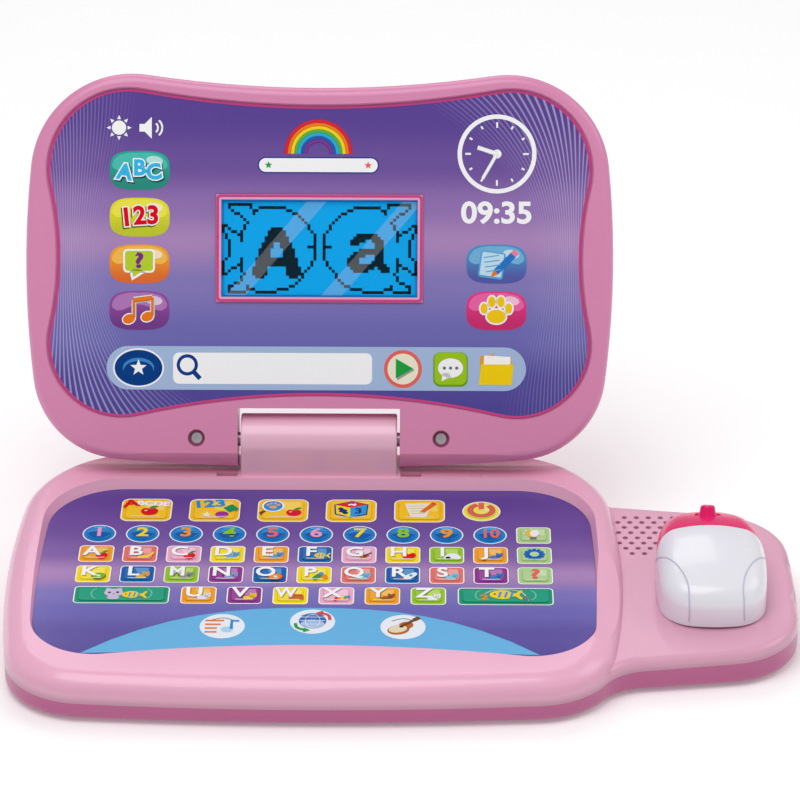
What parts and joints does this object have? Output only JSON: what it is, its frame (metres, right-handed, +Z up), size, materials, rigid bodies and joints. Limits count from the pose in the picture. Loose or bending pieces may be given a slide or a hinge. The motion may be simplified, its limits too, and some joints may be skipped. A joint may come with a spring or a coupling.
{
  "type": "toy laptop computer",
  "caption": "Toy laptop computer with a tilting lid and small display, sprung printed keys, a side shelf with sound holes and a captive clicking mouse.",
  "frame": {"origin": "middle of the bounding box's bottom face, on the surface that the feet stand on", "axes": "+X to the user's right, +Y away from the user towards the lid, +Z up"},
  "size_m": [0.3223, 0.234, 0.1906],
  "materials": {
    "pale_pink_plastic": "satin moulded",
    "deep_pink_plastic": "satin moulded",
    "lid_pink_plastic": "satin moulded",
    "white_plastic": "gloss moulded",
    "hot_pink_plastic": "gloss moulded",
    "printed_film": "printed sheet",
    "inner_plastic": "moulded",
    "yellow_key": "printed and embossed",
    "blue_key": "printed and embossed",
    "green_key": "printed and embossed",
    "green_wide_key": "printed and embossed",
    "letter_key": "printed and embossed",
    "grey_rubber": "moulded",
    "foot_rubber": "moulded",
    "circuit_board": "coated",
    "display_panel": "smooth",
    "clear_window": "clear",
    "speaker_metal": "satin",
    "cell_jacket": "wrapped",
    "contact_metal": "plated",
    "screw_steel": "plated",
    "pin_steel": "ground"
  },
  "bodies": {
    "base": {"base_top_shell": "pale_pink_plastic", "base_bottom_shell": "deep_pink_plastic", "hinge_cover": "pale_pink_plastic", "keyboard_film": "printed_film", "keyboard_plate": "inner_plastic", "switch_membrane": "grey_rubber", "main_board": "circuit_board", "speaker": "speaker_metal", "rubber_feet": "foot_rubber", "battery_door": "deep_pink_plastic", "battery_cells": "cell_jacket", "battery_contacts": "contact_metal", "case_screws": "screw_steel"},
    "lid": {"lid_bezel": "lid_pink_plastic", "lid_back_shell": "lid_pink_plastic", "screen_film": "printed_film", "display_window": "clear_window", "display_module": "display_panel", "display_board": "circuit_board", "lid_screws": "screw_steel", "hinge_pins": "pin_steel"},
    "mouse_cross_slide": {"mouse_slider": "inner_plastic"},
    "mouse": {"mouse_shell": "white_plastic"},
    "mouse_cap": {"mouse_button": "hot_pink_plastic"},
    "word_mode_key": {"word_mode_key": "yellow_key"},
    "count_mode_key": {"count_mode_key": "yellow_key"},
    "logic_mode_key": {"logic_mode_key": "yellow_key"},
    "game_mode_key": {"game_mode_key": "yellow_key"},
    "note_mode_key": {"note_mode_key": "yellow_key"},
    "power_key": {"power_key": "yellow_key"},
    "number_keys": {"number_keys": "blue_key"},
    "function_keys": {"function_keys": "green_key"},
    "letter_key_a": {"letter_key_a": "letter_key"},
    "letter_key_b": {"letter_key_b": "letter_key"},
    "letter_key_c": {"letter_key_c": "letter_key"},
    "letter_key_d": {"letter_key_d": "letter_key"},
    "letter_key_e": {"letter_key_e": "letter_key"},
    "letter_key_f": {"letter_key_f": "letter_key"},
    "letter_key_g": {"letter_key_g": "letter_key"},
    "letter_key_h": {"letter_key_h": "letter_key"},
    "letter_key_i": {"letter_key_i": "letter_key"},
    "letter_key_j": {"letter_key_j": "letter_key"},
    "letter_key_k": {"letter_key_k": "letter_key"},
    "letter_key_l": {"letter_key_l": "letter_key"},
    "letter_key_m": {"letter_key_m": "letter_key"},
    "letter_key_n": {"letter_key_n": "letter_key"},
    "letter_key_o": {"letter_key_o": "letter_key"},
    "letter_key_p": {"letter_key_p": "letter_key"},
    "letter_key_q": {"letter_key_q": "letter_key"},
    "letter_key_r": {"letter_key_r": "letter_key"},
    "letter_key_s": {"letter_key_s": "letter_key"},
    "letter_key_t": {"letter_key_t": "letter_key"},
    "letter_key_u": {"letter_key_u": "letter_key"},
    "letter_key_v": {"letter_key_v": "letter_key"},
    "letter_key_w": {"letter_key_w": "letter_key"},
    "letter_key_x": {"letter_key_x": "letter_key"},
    "letter_key_y": {"letter_key_y": "letter_key"},
    "letter_key_z": {"letter_key_z": "letter_key"},
    "wide_key_left": {"wide_key_left": "green_wide_key"},
    "wide_key_right": {"wide_key_right": "green_wide_key"}
  },
  "joints": [
    {"name": "lid_hinge", "type": "hinge", "parent": "base", "child": "lid", "pos_m": [-0.035, 0.04646, 0.04672], "axis": [1, 0, 0], "range_deg": [0, 118]},
    {"name": "mouse_left_right", "type": "slide", "parent": "base", "child": "mouse_cross_slide", "axis": [1, 0, 0], "range_m": [-0.003, 0.003], "stiffness_N_per_m": 250},
    {"name": "mouse_fore_aft", "type": "slide", "parent": "mouse_cross_slide", "child": "mouse", "axis": [0, 0.9976, 0.0698], "range_m": [-0.003, 0.003], "stiffness_N_per_m": 250},
    {"name": "mouse_click", "type": "slide", "parent": "mouse", "child": "mouse_cap", "axis": [0, 0.0698, -0.9976], "range_m": [0, 0.0005], "stiffness_N_per_m": 600, "springref_m": -0.0008},
    {"name": "word_mode_key_press", "type": "slide", "parent": "base", "child": "word_mode_key", "axis": [0, 0.0698, -0.9976], "range_m": [0, 0.0006], "stiffness_N_per_m": 900, "springref_m": -0.0006},
    {"name": "count_mode_key_press", "type": "slide", "parent": "base", "child": "count_mode_key", "axis": [0, 0.0698, -0.9976], "range_m": [0, 0.0006], "stiffness_N_per_m": 900, "springref_m": -0.0006},
    {"name": "logic_mode_key_press", "type": "slide", "parent": "base", "child": "logic_mode_key", "axis": [0, 0.0698, -0.9976], "range_m": [0, 0.0006], "stiffness_N_per_m": 900, "springref_m": -0.0006},
    {"name": "game_mode_key_press", "type": "slide", "parent": "base", "child": "game_mode_key", "axis": [0, 0.0698, -0.9976], "range_m": [0, 0.0006], "stiffness_N_per_m": 900, "springref_m": -0.0006},
    {"name": "note_mode_key_press", "type": "slide", "parent": "base", "child": "note_mode_key", "axis": [0, 0.0698, -0.9976], "range_m": [0, 0.0006], "stiffness_N_per_m": 900, "springref_m": -0.0006},
    {"name": "power_key_press", "type": "slide", "parent": "base", "child": "power_key", "axis": [0, 0.0698, -0.9976], "range_m": [0, 0.0006], "stiffness_N_per_m": 600, "springref_m": -0.0006},
    {"name": "number_keys_press", "type": "slide", "parent": "base", "child": "number_keys", "axis": [0, 0.0698, -0.9976], "range_m": [0, 0.0006], "stiffness_N_per_m": 900, "springref_m": -0.0006},
    {"name": "function_keys_press", "type": "slide", "parent": "base", "child": "function_keys", "axis": [0, 0.0698, -0.9976], "range_m": [0, 0.0006], "stiffness_N_per_m": 900, "springref_m": -0.0006},
    {"name": "letter_key_a_press", "type": "slide", "parent": "base", "child": "letter_key_a", "axis": [0, 0.0698, -0.9976], "range_m": [0, 0.0006], "stiffness_N_per_m": 600, "springref_m": -0.0006},
    {"name": "letter_key_b_press", "type": "slide", "parent": "base", "child": "letter_key_b", "axis": [0, 0.0698, -0.9976], "range_m": [0, 0.0006], "stiffness_N_per_m": 600, "springref_m": -0.0006},
    {"name": "letter_key_c_press", "type": "slide", "parent": "base", "child": "letter_key_c", "axis": [0, 0.0698, -0.9976], "range_m": [0, 0.0006], "stiffness_N_per_m": 600, "springref_m": -0.0006},
    {"name": "letter_key_d_press", "type": "slide", "parent": "base", "child": "letter_key_d", "axis": [0, 0.0698, -0.9976], "range_m": [0, 0.0006], "stiffness_N_per_m": 600, "springref_m": -0.0006},
    {"name": "letter_key_e_press", "type": "slide", "parent": "base", "child": "letter_key_e", "axis": [0, 0.0698, -0.9976], "range_m": [0, 0.0006], "stiffness_N_per_m": 600, "springref_m": -0.0006},
    {"name": "letter_key_f_press", "type": "slide", "parent": "base", "child": "letter_key_f", "axis": [0, 0.0698, -0.9976], "range_m": [0, 0.0006], "stiffness_N_per_m": 600, "springref_m": -0.0006},
    {"name": "letter_key_g_press", "type": "slide", "parent": "base", "child": "letter_key_g", "axis": [0, 0.0698, -0.9976], "range_m": [0, 0.0006], "stiffness_N_per_m": 600, "springref_m": -0.0006},
    {"name": "letter_key_h_press", "type": "slide", "parent": "base", "child": "letter_key_h", "axis": [0, 0.0698, -0.9976], "range_m": [0, 0.0006], "stiffness_N_per_m": 600, "springref_m": -0.0006},
    {"name": "letter_key_i_press", "type": "slide", "parent": "base", "child": "letter_key_i", "axis": [0, 0.0698, -0.9976], "range_m": [0, 0.0006], "stiffness_N_per_m": 600, "springref_m": -0.0006},
    {"name": "letter_key_j_press", "type": "slide", "parent": "base", "child": "letter_key_j", "axis": [0, 0.0698, -0.9976], "range_m": [0, 0.0006], "stiffness_N_per_m": 600, "springref_m": -0.0006},
    {"name": "letter_key_k_press", "type": "slide", "parent": "base", "child": "letter_key_k", "axis": [0, 0.0698, -0.9976], "range_m": [0, 0.0006], "stiffness_N_per_m": 600, "springref_m": -0.0006},
    {"name": "letter_key_l_press", "type": "slide", "parent": "base", "child": "letter_key_l", "axis": [0, 0.0698, -0.9976], "range_m": [0, 0.0006], "stiffness_N_per_m": 600, "springref_m": -0.0006},
    {"name": "letter_key_m_press", "type": "slide", "parent": "base", "child": "letter_key_m", "axis": [0, 0.0698, -0.9976], "range_m": [0, 0.0006], "stiffness_N_per_m": 600, "springref_m": -0.0006},
    {"name": "letter_key_n_press", "type": "slide", "parent": "base", "child": "letter_key_n", "axis": [0, 0.0698, -0.9976], "range_m": [0, 0.0006], "stiffness_N_per_m": 600, "springref_m": -0.0006},
    {"name": "letter_key_o_press", "type": "slide", "parent": "base", "child": "letter_key_o", "axis": [0, 0.0698, -0.9976], "range_m": [0, 0.0006], "stiffness_N_per_m": 600, "springref_m": -0.0006},
    {"name": "letter_key_p_press", "type": "slide", "parent": "base", "child": "letter_key_p", "axis": [0, 0.0698, -0.9976], "range_m": [0, 0.0006], "stiffness_N_per_m": 600, "springref_m": -0.0006},
    {"name": "letter_key_q_press", "type": "slide", "parent": "base", "child": "letter_key_q", "axis": [0, 0.0698, -0.9976], "range_m": [0, 0.0006], "stiffness_N_per_m": 600, "springref_m": -0.0006},
    {"name": "letter_key_r_press", "type": "slide", "parent": "base", "child": "letter_key_r", "axis": [0, 0.0698, -0.9976], "range_m": [0, 0.0006], "stiffness_N_per_m": 600, "springref_m": -0.0006},
    {"name": "letter_key_s_press", "type": "slide", "parent": "base", "child": "letter_key_s", "axis": [0, 0.0698, -0.9976], "range_m": [0, 0.0006], "stiffness_N_per_m": 600, "springref_m": -0.0006},
    {"name": "letter_key_t_press", "type": "slide", "parent": "base", "child": "letter_key_t", "axis": [0, 0.0698, -0.9976], "range_m": [0, 0.0006], "stiffness_N_per_m": 600, "springref_m": -0.0006},
    {"name": "letter_key_u_press", "type": "slide", "parent": "base", "child": "letter_key_u", "axis": [0, 0.0698, -0.9976], "range_m": [0, 0.0006], "stiffness_N_per_m": 600, "springref_m": -0.0006},
    {"name": "letter_key_v_press", "type": "slide", "parent": "base", "child": "letter_key_v", "axis": [0, 0.0698, -0.9976], "range_m": [0, 0.0006], "stiffness_N_per_m": 600, "springref_m": -0.0006},
    {"name": "letter_key_w_press", "type": "slide", "parent": "base", "child": "letter_key_w", "axis": [0, 0.0698, -0.9976], "range_m": [0, 0.0006], "stiffness_N_per_m": 600, "springref_m": -0.0006},
    {"name": "letter_key_x_press", "type": "slide", "parent": "base", "child": "letter_key_x", "axis": [0, 0.0698, -0.9976], "range_m": [0, 0.0006], "stiffness_N_per_m": 600, "springref_m": -0.0006},
    {"name": "letter_key_y_press", "type": "slide", "parent": "base", "child": "letter_key_y", "axis": [0, 0.0698, -0.9976], "range_m": [0, 0.0006], "stiffness_N_per_m": 600, "springref_m": -0.0006},
    {"name": "letter_key_z_press", "type": "slide", "parent": "base", "child": "letter_key_z", "axis": [0, 0.0698, -0.9976], "range_m": [0, 0.0006], "stiffness_N_per_m": 600, "springref_m": -0.0006},
    {"name": "wide_key_left_press", "type": "slide", "parent": "base", "child": "wide_key_left", "axis": [0, 0.0698, -0.9976], "range_m": [0, 0.0006], "stiffness_N_per_m": 900, "springref_m": -0.0006},
    {"name": "wide_key_right_press", "type": "slide", "parent": "base", "child": "wide_key_right", "axis": [0, 0.0698, -0.9976], "range_m": [0, 0.0006], "stiffness_N_per_m": 900, "springref_m": -0.0006}
  ]
}
